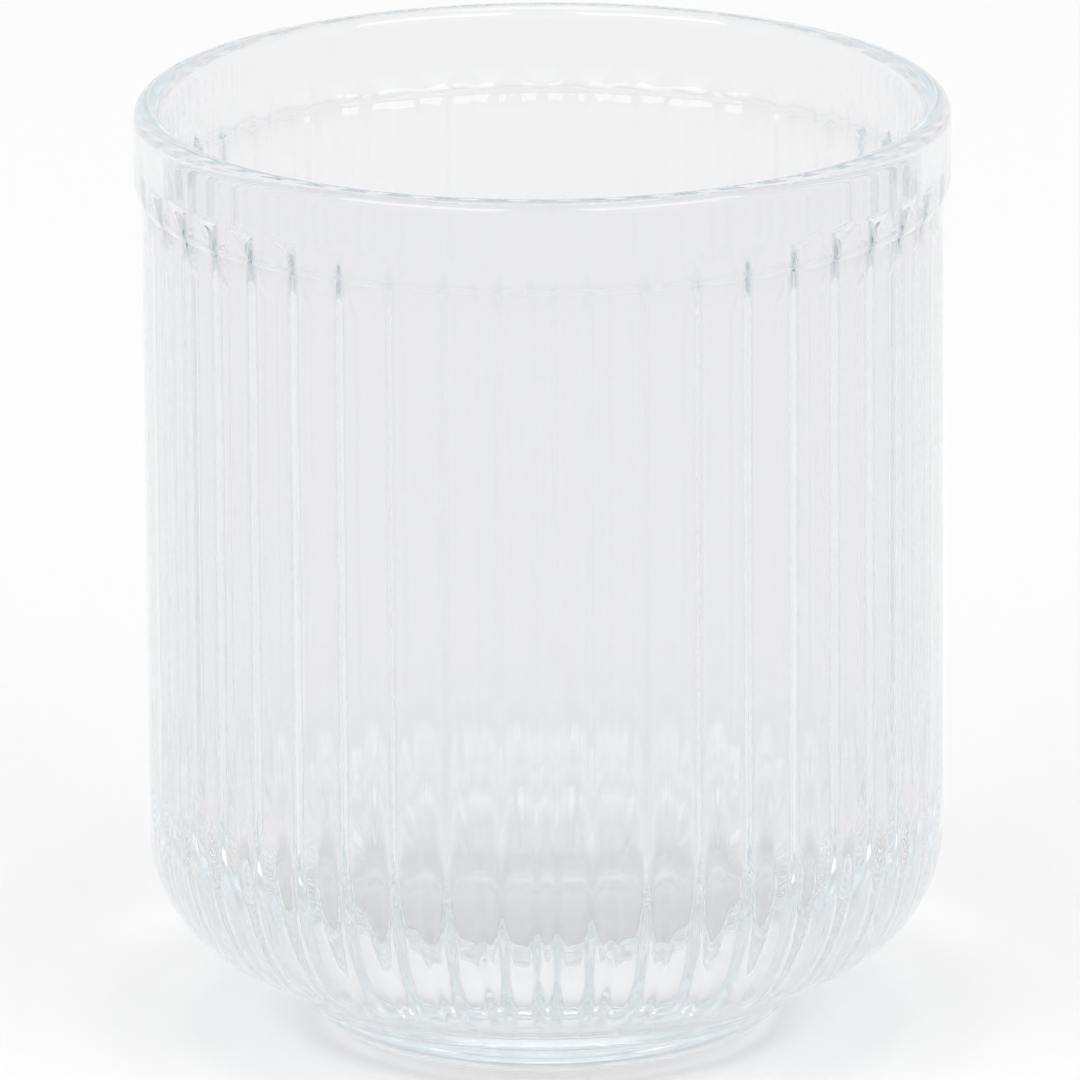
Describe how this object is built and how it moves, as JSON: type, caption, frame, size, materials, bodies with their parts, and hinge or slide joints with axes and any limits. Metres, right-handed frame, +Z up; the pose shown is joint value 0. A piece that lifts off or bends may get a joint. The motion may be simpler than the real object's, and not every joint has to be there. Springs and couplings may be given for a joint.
{
  "type": "tea glass",
  "caption": "Straight clear tumbler for tea with a smooth outside, a proud rim band, rounded ribs down the inside, a rounded heel, a thick base and a small round foot.",
  "frame": {"origin": "centre of the foot's flat resting face", "axes": "+Z up along the axis of the glass, towards the open rim; the glass is round, so X and Y are free"},
  "size_m": [0.08, 0.08, 0.0938],
  "materials": {
    "clear_glass": "clear pressed soda-lime glass, fire polished, with a faint green tint in the thick parts"
  },
  "bodies": {
    "root": {"lip_band": "clear_glass", "ribbed_wall": "clear_glass", "ribbed_heel": "clear_glass", "lower_heel": "clear_glass", "base": "clear_glass", "foot": "clear_glass"}
  },
  "joints": []
}
